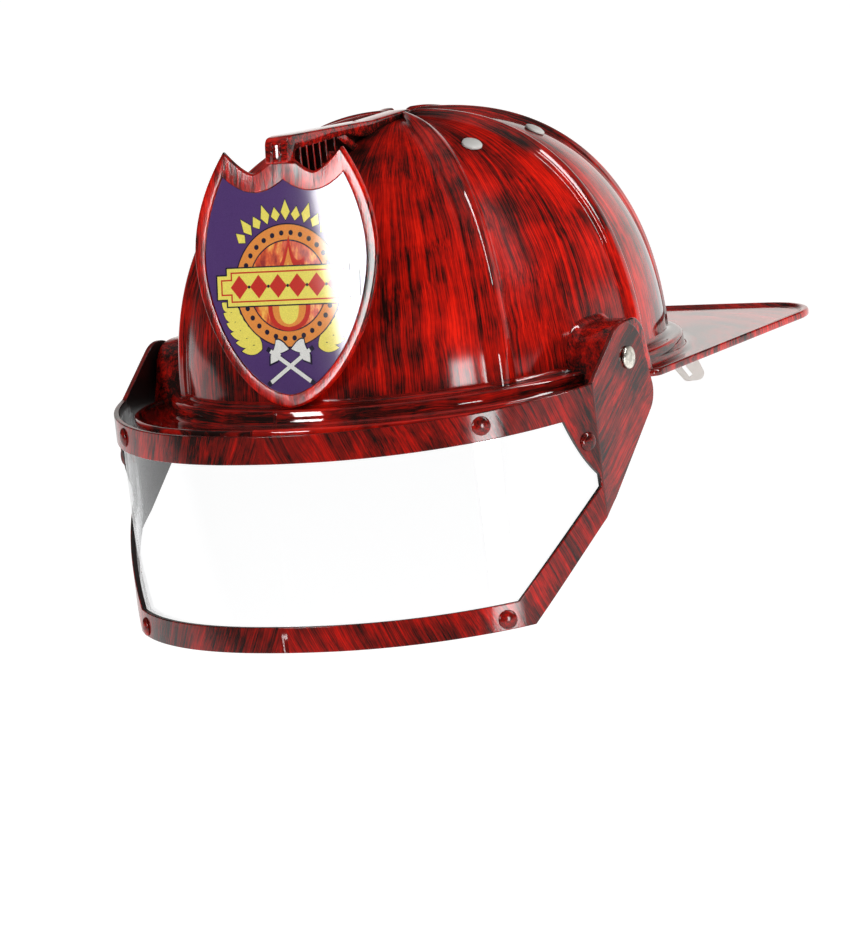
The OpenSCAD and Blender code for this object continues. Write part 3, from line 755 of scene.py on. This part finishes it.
def shield():
    """Plate with a rounded outer edge and a raised rim round the label's recess."""
    build = Build()
    # over the rim: [distance in from the outline, depth]
    edge = [(1.0, SHIELD_T), (0.15, SHIELD_T - 0.2), (0.0, SHIELD_T - 0.6), (0.0, 0.75), (0.12, 0.35),
            (0.45, 0.08), (0.9, 0.0)]
    recess = [(-0.55, 0.0), (-0.3, 0.08), (-0.16, 0.3), (-0.1, RECESS)]
    rings = []
    for outline, section in ((shield_outline, edge), (label_outline, recess)):
        for inset, y in section:
            p = whole(outline(inset))
            rings.append(np.stack([p[:, 0], np.full(len(p), y), p[:, 1]], -1))
    n = len(rings[0])
    points = np.concatenate(rings)
    faces = quads(len(rings), n)
    faces += [list(range(n)), list(range((len(rings) - 1) * n, len(rings) * n))[::-1]]
    build.add(shield_place(points), faces, np.stack([points[:, 0], points[:, 1], points[:, 2] * 0.12], -1))
    build.finished("shield_plate", [SHIELD_RED], "helmet", ["front_shield"], True)


# ---- label ----
LABEL_T = 0.25
LABEL_FACE = RECESS - LABEL_T
INK_STEP = 0.02             # each printed layer stands this much over the one below
EMBLEM = np.array([0.5, 44.1])


def disc(centre, r, n=72):
    return arc(centre, r, 0, 360, n)[:-1]


def turned(points, angle, centre=(0, 0)):
    c, s = math.cos(angle), math.sin(angle)
    return np.asarray(points) @ np.array([[c, s], [-s, c]]) + np.array(centre)


def leaf(centre, length, width, angle):
    """A pointed leaf."""
    half = bezier([0, 0], [length * 0.45, width], [length, 0], 8)
    return turned(np.concatenate([half, (half * [1, -1])[-2:0:-1]]), angle, centre)


def diamond(centre, w, h):
    return np.array(centre) + np.array([[0, -h], [w, 0], [0, h], [-w, 0]])


def ribbon(hw, hh, step=2.6):
    """A banner with stepped ends."""
    corner = [[hw - step * 1.6, -hh], [hw - step * 1.6, -hh + step], [hw, -hh + step]]
    right = corner + [[x, -z] for x, z in corner[::-1]]
    return np.array(right + [[-x, z] for x, z in right[::-1]]) + EMBLEM


def axe(angle, centre, size):
    """Handle and head of a fire axe, the handle's middle at centre."""
    handle = [[-0.55, -7.5], [0.55, -7.5], [0.55, 7.5], [-0.55, 7.5]]
    head = np.concatenate([[[-0.9, 4.2], [0.9, 4.2]], bezier([1.2, 4.6], [2.2, 3.6], [3.6, 2.9], 4),
                           bezier([3.9, 4.4], [4.3, 5.6], [3.9, 7.0], 4),
                           bezier([3.4, 7.6], [2.2, 6.9], [0.9, 6.8], 4),
                           [[-0.9, 6.8], [-2.8, 5.6]]])
    return [turned(np.array(part) * size, angle, centre) for part in (handle, head)]


# The flame's outline as curves: [middle point, end point, number of steps]
FLAME_CURVES = [[(1.25, 0.02), (0.92, 0.42), 8], [(0.72, 0.62), (0.8, 0.78), 6],
                [(0.3, 0.62), (0.1, 1), 6], [(-0.2, 0.68), (-0.62, 0.62), 6],
                [(-0.5, 0.5), (-0.9, 0.36), 6], [(-1.1, 0.02), (0, 0), 8]]


def flame(centre, w, h):
    """A single flame with a curled tip."""
    start, out = (0, 0), []
    for middle, end, n in FLAME_CURVES:
        out += list(bezier(start, middle, end, n)[:-1])
        start = end
    return np.array(out) * [w, h] + np.array(centre)


def printed(name, shapes, layer, material):
    """Flat inked shapes in one colour."""
    build = Build()
    for k, shape in enumerate(shapes):
        top = LABEL_FACE - INK_STEP * layer - 0.001 * k
        bm = bmesh.new()
        bm.faces.new([bm.verts.new((x, top, z)) for x, z in shape])
        thicken(bm, list(bm.faces), LABEL_FACE + 0.02 - top)
        from_bmesh(build, bm, shield_place, lambda p: p)
    build.finished(name, [material], "helmet", soft=False)


def from_emblem(angle, radius):
    return EMBLEM + radius * np.array([math.cos(angle), math.sin(angle)])


def sprigs(radius, start, end, count, length, width):
    """Two mirrored sprays of leaves round the emblem."""
    shapes = []
    onward = np.sign(end - start)
    for t in np.linspace(0, 1, count):
        a = math.radians(start + (end - start) * t)
        for lean in (0.55, -0.45):
            direction = a + onward * (math.pi / 2 - lean)
            shapes.append(leaf(from_emblem(a, radius), length * (1 - 0.35 * t), width, direction))
    return shapes + [((s - EMBLEM) * [-1, 1] + EMBLEM)[::-1] for s in shapes]


def sunburst():
    """A fan of long diamonds over the ring."""
    shapes = []
    for k in range(-5, 6):
        a = math.radians(90 + 9.5 * k)
        reach = 7.4 if k % 2 == 0 else 5.2
        ray = [[0, 0], [reach * 0.4, -1.9], [reach, 0], [reach * 0.4, 1.9]]
        shapes.append(turned(ray, a, from_emblem(a, 23.6)))
    return shapes


def grown(shapes, share):
    return [s + (s - s.mean(0)) * share for s in shapes]


def label():
    build = Build()
    bm = slab(whole(label_outline(0.0)), LABEL_T, 0.04)
    bmesh.ops.translate(bm, vec=(0, LABEL_FACE, 0), verts=bm.verts)
    from_bmesh(build, bm, shield_place, lambda p: p)
    build.finished("label_field", [NAVY], "helmet", ["shield_label"], soft=False)
    cx, cz = EMBLEM
    leaves = sprigs(25.6, -118, -160, 6, 8.5, 3.4) + sunburst()
    studs = [disc(from_emblem(a, 19.1), 0.95, 16) for a in np.radians(np.arange(0, 360, 12))]
    gems = [diamond((cx + x, cz), 3.7, 4.3) for x in np.linspace(-20.5, 20.5, 6)]
    dots = [disc((cx + x, cz), 0.6, 12) for x in np.linspace(-16.4, 16.4, 5)]
    tools = axe(math.radians(56), (cx, 15.0), 1.35)
    tools += [s * [-1, 1] + [2 * cx, 0] for s in tools]
    for name, shapes, layer, material in (
            ("leaves_edge", grown(leaves, 0.13), 1, INK_BLACK),
            ("leaves", leaves, 2, YELLOW),
            ("ring_edge", [disc(EMBLEM, 22.5)], 3, INK_BLACK),
            ("ring", [disc(EMBLEM, 22.0)], 4, ORANGE),
            ("ring_studs", studs, 5, INK_BLACK),
            ("ring_inner", [disc(EMBLEM, 16.6)], 5, INK_BLACK),
            ("fire", [disc(EMBLEM, 16.1)], 6, FLAME),
            ("flame_edge", [flame((cx, cz - 16.5), 9.4, 34.5)], 7, INK_RED),
            ("flame", [flame((cx, cz - 15), 7.4, 29)], 8, ORANGE),
            ("flame_core", [flame((cx, cz - 14), 4.3, 22.5)], 9, YELLOW),
            ("ribbon_edge", [ribbon(30.4, 7.3)], 10, INK_BLACK),
            ("ribbon", [ribbon(29.8, 6.8)], 11, YELLOW),
            ("ribbon_line", [ribbon(28.3, 5.5)], 12, INK_RED),
            ("ribbon_field", [ribbon(27.7, 4.95)], 13, YELLOW),
            ("gems", gems, 14, INK_RED),
            ("gem_dots", dots, 14, INK_BLACK),
            ("axes_edge", grown(tools, 0.16), 15, INK_BLACK),
            ("axes", tools, 16, INK_WHITE)):
        printed("label_" + name, shapes, layer, material)


# ---- visor ----
def wall_curve():
    """Points of the visor wall's plan from the middle of its front to the crease, on the wearer's left."""
    most = math.acos(((VISOR_MID - CREASE_Y) / VISOR_L) ** (VISOR_E / 2))
    p = plan(np.linspace(0, most, 400), VISOR_W, VISOR_L, VISOR_E)
    p[:, 1] += VISOR_MID
    p[-1] = [PLATE_OUT, CREASE_Y]
    return p


CURVE = wall_curve()
CURVE_S = np.concatenate([[0], np.cumsum(np.linalg.norm(np.diff(CURVE, axis=0), axis=1))])
CREASE_S = CURVE_S[-1]


def sheet_s(y):
    """How far along the visor's sheet a point at Y lies from the middle."""
    y = np.asarray(y, float)
    return np.where(y < CREASE_Y, np.interp(y, CURVE[:, 1], CURVE_S), CREASE_S + y - CREASE_Y)


def on_sheet(points):
    """From (distance along the visor's sheet, depth, height) to the helmet's frame."""
    s, depth, z = points.T
    d = np.abs(s)
    step = 0.4

    def at(d):
        x, y = np.interp(d, CURVE_S, CURVE[:, 0]), np.interp(d, CURVE_S, CURVE[:, 1])
        return np.stack([x, y + np.clip(d - CREASE_S, 0, None)], -1)
    along = at(d + step) - at(np.clip(d - step, 0, None))
    along /= np.linalg.norm(along, axis=1)[:, None]
    inward = np.stack([-along[:, 1], along[:, 0]], -1)
    inward[d < 1e-6] = [0, 1]
    p = at(d) + inward * depth[:, None]
    return np.stack([np.sign(s + 1e-12) * p[:, 0], p[:, 1], z], -1)


def bar_z(z, y):
    return z + math.tan(DROOP) * (np.asarray(y) - VISOR_MID)


def bar_edge(z, y0, y1, n):
    """Points along a bar's edge, from Y y0 to y1."""
    y = np.linspace(y0, y1, n)
    return np.stack([y, bar_z(z, y)], -1)


FRONT_Y = CURVE[0, 1]


def frame_outline():
    """Outer half outline of the visor frame in (Y, Z), from the top middle round to the bottom middle."""
    ear = np.concatenate([[[CREASE_Y, bar_z(TOP_MID_Z, CREASE_Y) + 0.1]],
                          arc([hinge[1], hinge[2]], 12.8, 125, 8, 20),
                          arc([hinge[1] + 6.9, hinge[2] - 13.8], 9.7, 8, -50, 12),
                          bezier([-46.4, -38.8], [-66, -51.5],
                                 [-85.1, bar_z(LOW_MID_Z - LOW_BAR_H, -85.1)], 16)])
    return np.concatenate([bar_edge(TOP_MID_Z, FRONT_Y, CREASE_Y - 3, 40), ear,
                           bar_edge(LOW_MID_Z - LOW_BAR_H, -87, FRONT_Y, 30)])


def window_outline():
    """Half outline of the lens window in (Y, Z), from the bottom middle round to the top middle."""
    scallop = bezier([-68.1, -7], [-62.8, -21.5], [-55.6, -28.4], 16)
    slant = bezier([-55.4, -32.8], [-74.5, -47.5], [-89.3, bar_z(LOW_MID_Z, -89.3)], 16)
    return np.concatenate([bar_edge(LOW_MID_Z, FRONT_Y, -92, 26), slant[::-1], scallop[::-1],
                           bar_edge(TOP_MID_Z - TOP_BAR_H, -70, FRONT_Y, 36)])


def to_sheet(outline):
    return np.stack([sheet_s(outline[:, 0]), outline[:, 1]], -1)


CREASE_R = 0.7              # the bend at a crease reaches this far to each side
BAR_LEAN, PLATE_LEAN = math.radians(-24), math.radians(57)


def cut_sheet(bm, step=3.0):
    """Cuts across the sheet, so that it can bend, with close cuts at the creases."""
    cuts = list(np.arange(step, CREASE_S - 1, step)) + [CREASE_S - CREASE_R, CREASE_S, CREASE_S + CREASE_R]
    for s in [0.0] + [c * side for c in cuts for side in (1, -1)]:
        bmesh.ops.bisect_plane(bm, geom=bm.verts[:] + bm.edges[:] + bm.faces[:], plane_co=(s, 0, 0),
                               plane_no=(1, 0, 0))


def visor_grain(points):
    """Strokes lean one way on the bars and the other way on the ear plates."""
    s, depth, z = points.T
    on_plate = smooth((np.abs(s) - CREASE_S + CREASE_R) / (2 * CREASE_R))
    lean = BAR_LEAN * (1 - on_plate) + PLATE_LEAN * on_plate
    side = np.sign(s + 1e-9)
    across = side * s * np.cos(lean) - z * np.sin(lean)
    along = side * s * np.sin(lean) + z * np.cos(lean)
    return np.stack([across + 300 * (side < 0), depth, along * ALONG * 1.4], -1)


def visor_frame():
    build = Build()
    bm = bmesh.new()
    window = to_sheet(window_outline())
    half = np.concatenate([to_sheet(frame_outline()), window])
    for outline in (half, (half * [-1, 1])[::-1]):
        bm.faces.new([bm.verts.new((x, 0, z)) for x, z in outline])
    bmesh.ops.remove_doubles(bm, verts=bm.verts, dist=0.02)
    thicken(bm, list(bm.faces), FRAME_T)
    round_rims(bm, FRAME_T, 0.35)
    cut_sheet(bm)
    bmesh.ops.recalc_face_normals(bm, faces=bm.faces)
    low, high = window[:, 1].min(), window[:, 1].max()

    def slot(face):
        """1, bare black, for the back and for the window's inner edges."""
        c = face.calc_center_median()
        n = face.normal
        if n.y > 0.5:
            return 1
        inner = abs(n.y) < 0.8 and c.y > 0.4
        in_window = low - 1 < c.z < high + 1 and abs(c.x) < CREASE_S + 1.0
        facing_in = n.z < 0 if c.z > -30 else n.z > -0.1
        return 1 if inner and in_window and facing_in else 0
    from_bmesh(build, bm, on_sheet, visor_grain, slot)
    build.finished("visor_moulding", [PLATE_RED, BLACK], "visor", ["visor_frame"], True)


LENS_REAR = -52.8
LENS_INSET = 2              # the film ends this far inside the bars' outer edges


def visor_lens():
    build = Build()
    top, foot = TOP_MID_Z - LENS_INSET, LOW_MID_Z - LOW_BAR_H + LENS_INSET
    slant = bezier([LENS_REAR, -38], [-70, -50.5], [-86.5, bar_z(foot, -86.5)], 12)
    half = to_sheet(np.concatenate([bar_edge(top, FRONT_Y, LENS_REAR, 40), slant,
                                    bar_edge(foot, -88, FRONT_Y, 30)]))
    bm = slab(whole(half), LENS_T, 0.12)
    cut_sheet(bm, 2.0)
    bmesh.ops.translate(bm, vec=(0, FRAME_T + TOUCH, 0), verts=bm.verts)
    from_bmesh(build, bm, on_sheet, lambda p: p * [1, 1, 0.12])
    build.finished("visor_film", [FILM], "visor", ["visor_lens"], True)


# ---- fasteners ----
def turned_piece(name, profile, origin, axis, material, body, replaced, wobble=0.0):
    """A lathe-turned piece: profile is (radius, height) along axis from origin. wobble makes it uneven."""
    build = Build()
    a = np.linspace(0, 2 * math.pi, 49)[:-1]
    rings = []
    turn = np.array(Vector(axis).to_track_quat("Z", "Y").to_matrix())
    waves = 0.5 * np.sin(2 * a + 1.0) + 0.35 * np.sin(3 * a + origin[0]) + 0.2 * np.sin(5 * a)
    uneven = 1 + wobble * waves
    for r, h in profile:
        ring = [r * uneven * np.cos(a), r * uneven * np.sin(a), h * (1 + wobble * np.cos(a))]
        rings.append(origin + np.stack(ring, -1) @ turn.T)
    ends = [origin + turn @ [0, 0, profile[k][1]] for k in (0, -1)]
    build.rings(rings, rings, ends[0], ends[1])
    build.finished(name, [material], body, [replaced])


def rivet_profile(head_r, rim, rise, shank_r, depth, tail_r, tail_t):
    """Outline of a rivet from its tail up to its domed head, whose rim is at height 0."""
    t = np.linspace(0, 1, 9)
    dome = [(head_r * math.cos(a), rim + rise * math.sin(a)) for a in t[:-1] * math.pi / 2]
    return ([(tail_r * 0.6, -depth - tail_t), (tail_r, -depth - tail_t + 0.1), (tail_r, -depth),
             (shank_r, -depth), (shank_r, 0.0), (head_r - 0.15, 0.0), (head_r, 0.1)] + dome[1:]
            + [(head_r * 0.06, rim + rise)])


RIVET_PLACES = {"top": (-93.7, -3.0), "side": (-59.4, -15.7), "bottom": (-92.7, -73.7)}


def lens_rivets():
    for where, (y, z) in RIVET_PLACES.items():
        for side, name in SIDES:
            node = f"lens_rivet_{name}_{where}"
            s = float(sheet_s(y))
            point, inner = on_sheet(np.array([[s, 0, z], [s, 1, z]]))
            axis = (point - inner) * [side, 1, 1]
            profile = rivet_profile(3.5, 0.1, 1.4, 1.5, 3.2, 2.8, 0.6)
            turned_piece(node + "_head", profile, point * [side, 1, 1], axis, PLATE_RED, "visor",
                         node)


def pivot_rivets():
    for side, name in SIDES:
        node = f"pivot_rivet_{name}"
        low, high = box_mm(node)
        reach = high[0] - low[0] - 1.9
        origin = np.array([side * (PLATE_OUT + TOUCH), hinge[1], hinge[2]])
        profile = rivet_profile(4.2, 0.7, 1.05, 2.5, reach, 3.3, 0.6)
        turned_piece(node + "_turned", profile, origin, (side, 0, 0), RIVET, "helmet", node)


PEG_PLACES = {"front": (41.5, -19.8), "rear": (43.0, 23.8)}


def crown_pegs():
    for end, (x, y) in PEG_PLACES.items():
        for side, name in SIDES:
            node = f"crown_peg_{end}_{name}"
            u = ((x / DOME_W) ** PLAN_E + (abs(y) / DOME_L) ** PLAN_E) ** (1 / PLAN_E)
            z = dome_z(u)
            steep = u ** (HEIGHT_E - PLAN_E)
            slope = np.array([(x / DOME_W) ** (PLAN_E - 1) / DOME_W * steep,
                              np.sign(y) * (abs(y) / DOME_L) ** (PLAN_E - 1) / DOME_L * steep,
                              (z / DOME_H) ** (HEIGHT_E - 1) / DOME_H])
            axis = slope / np.linalg.norm(slope) * [side, 1, 1]
            profile = rivet_profile(3.9, 0.45, 1.15, 1.8, 6.5, 2.8, 0.7)
            turned_piece(node + "_head", profile, np.array([side * x, y, z]) + axis * TOUCH, axis, PEG,
                         "helmet", node, 0.05)


# ---- suspension ----
KEPT_LOOKS = {"stud": PEG, "washer": STEEL, "retainer": STEEL, "strap": STRAP, "headband": STRAP}


def dress_cad_nodes():
    """Better materials for the CAD nodes that stay, by the first word that is in their names."""
    for name, node in frame["nodes"].items():
        looks = [material for word, material in KEPT_LOOKS.items() if word in name]
        if looks:
            node.data.materials.clear()
            node.data.materials.append(looks[0])


# ---- scene ----
VIEW_CENTRE, VIEW_DISTANCE = (9.54, -26.77, -30.93), 3240.55
VIEW_AZIMUTH, VIEW_ELEVATION, VIEW_ROLL = 31.255, 8.476, -6.798
LENS_MM = 336.15            # on a 36 mm sensor, along the picture's longer side

GLARE_EDGE = [(21.0, 25.0), (12.0, 78.0)]         # where the glare on the shield starts: X, distance up it
KEY_DISTANCE, KEY_W, KEY_H, KEY_DROP = 1700.0, 360.0, 420.0, 110.0
KEY_POWER = 13.5
FLOOR_Z, FLOOR_HALF = -0.32, 14.0                 # metres


def aimed(aim, distance, azimuth, elevation, roll=0.0):
    """Where something stands that looks at aim from distance away, in mm and degrees."""
    turn = Matrix.Rotation(math.radians(azimuth), 4, "Z")
    turn @= Matrix.Rotation(math.radians(90 - elevation), 4, "X")
    turn @= Matrix.Rotation(math.radians(roll), 4, "Z")
    return Matrix.Translation(Vector(aim) * MM) @ turn @ Matrix.Translation((0, 0, distance * MM))


def camera():
    data = bpy.data.cameras.new("camera")
    data.lens = LENS_MM
    data.sensor_width, data.clip_end = 36.0, 100.0
    obj = linked("camera", data)
    obj.matrix_world = aimed(VIEW_CENTRE, VIEW_DISTANCE, VIEW_AZIMUTH, VIEW_ELEVATION, VIEW_ROLL)
    bpy.context.scene.camera = obj


def area_light(name, width, height, power):
    """An area light, with its size in mm."""
    data = bpy.data.lights.new(name, "AREA")
    data.shape = "RECTANGLE"
    data.size, data.size_y = width * MM, height * MM
    data.energy = power
    return linked(name, data)


def key_light():
    """A softbox whose near edge shows in the shield along GLARE_EDGE; only the side past that glares."""
    eye = np.array(bpy.context.scene.camera.location) / MM
    seen = []
    for x, height in GLARE_EDGE:
        p = SHIELD_FOOT + [x, 0, 0] + SHIELD_UP * height
        ray = p - eye
        ray -= 2 * ray.dot(SHIELD_IN) * SHIELD_IN
        seen.append(p + ray / np.linalg.norm(ray) * KEY_DISTANCE)
    foot, top = seen
    rise = (top - foot) / np.linalg.norm(top - foot)
    away = (foot + top) / 2 - SHIELD_FOOT
    away -= away.dot(rise) * rise
    away /= np.linalg.norm(away)
    across = np.cross(rise, away)
    centre = foot + rise * (KEY_H / 2 - KEY_DROP) + across * KEY_W / 2
    obj = area_light("key", KEY_W, KEY_H, KEY_POWER)
    turn = Matrix(np.stack([across, rise, away], -1).tolist())
    obj.matrix_world = Matrix.Translation(centre * MM) @ turn.to_4x4()


def studio_floor():
    """A floor that glows white towards the camera's backdrop and is dim in front of the helmet."""
    corners = [(-1, -1), (1, -1), (1, 1), (-1, 1)]
    mesh = bpy.data.meshes.new("floor")
    mesh.from_pydata([(x * FLOOR_HALF, y * FLOOR_HALF, FLOOR_Z) for x, y in corners], [], [(0, 1, 2, 3)])
    n = Nodes("floor_pale")
    y = n.add("SeparateXYZ", {0: n.place()}).outputs["Y"]
    glow = n.span(y, -1.1, -0.6, 0.05, 0.93)
    n.set(Base_Color=n.ramp(glow, [(0.1, (0.04, 0.04, 0.04)), (0.8, (0.4, 0.4, 0.4))]), Roughness=0.95)
    n.set(Emission_Color=(1, 1, 1, 1), Emission_Strength=glow)
    mesh.materials.append(n.material)
    floor = linked("floor", mesh)


def sky():
    """A bright backdrop low behind the helmet, a soft light from above, and little from in front."""
    world = bpy.data.worlds.new("studio")
    bpy.context.scene.world = world
    n = Nodes("studio", world)
    way = n.add("SeparateXYZ", {0: n.add("TexCoord").outputs["Generated"]}).outputs
    backdrop = n.math("MULTIPLY", n.span(way["Y"], 0.45, 0.85), n.span(way["Z"], 0.42, 0.22))
    total = n.math("ADD", n.spread(backdrop, 0.04, 1.05), n.span(way["Z"], 0.55, 0.98, 0, 0.3))
    n.set(Strength=total, Color=(1.0, 0.975, 0.945, 1))


camera()
studio_floor()
sky()
key_light()
area_light("low_strip", 220, 320, 3.8).matrix_world = aimed((76, -93, -20), 1000, 55.5, -5)
area_light("side_strip", 260, 1540, 21).matrix_world = aimed((84, 2, 55), 1800, 103, 43, -16)
bpy.context.scene.view_settings.view_transform = "Standard"
shell()
shield()
label()
visor_frame()
visor_lens()
lens_rivets()
pivot_rivets()
crown_pegs()
dress_cad_nodes()
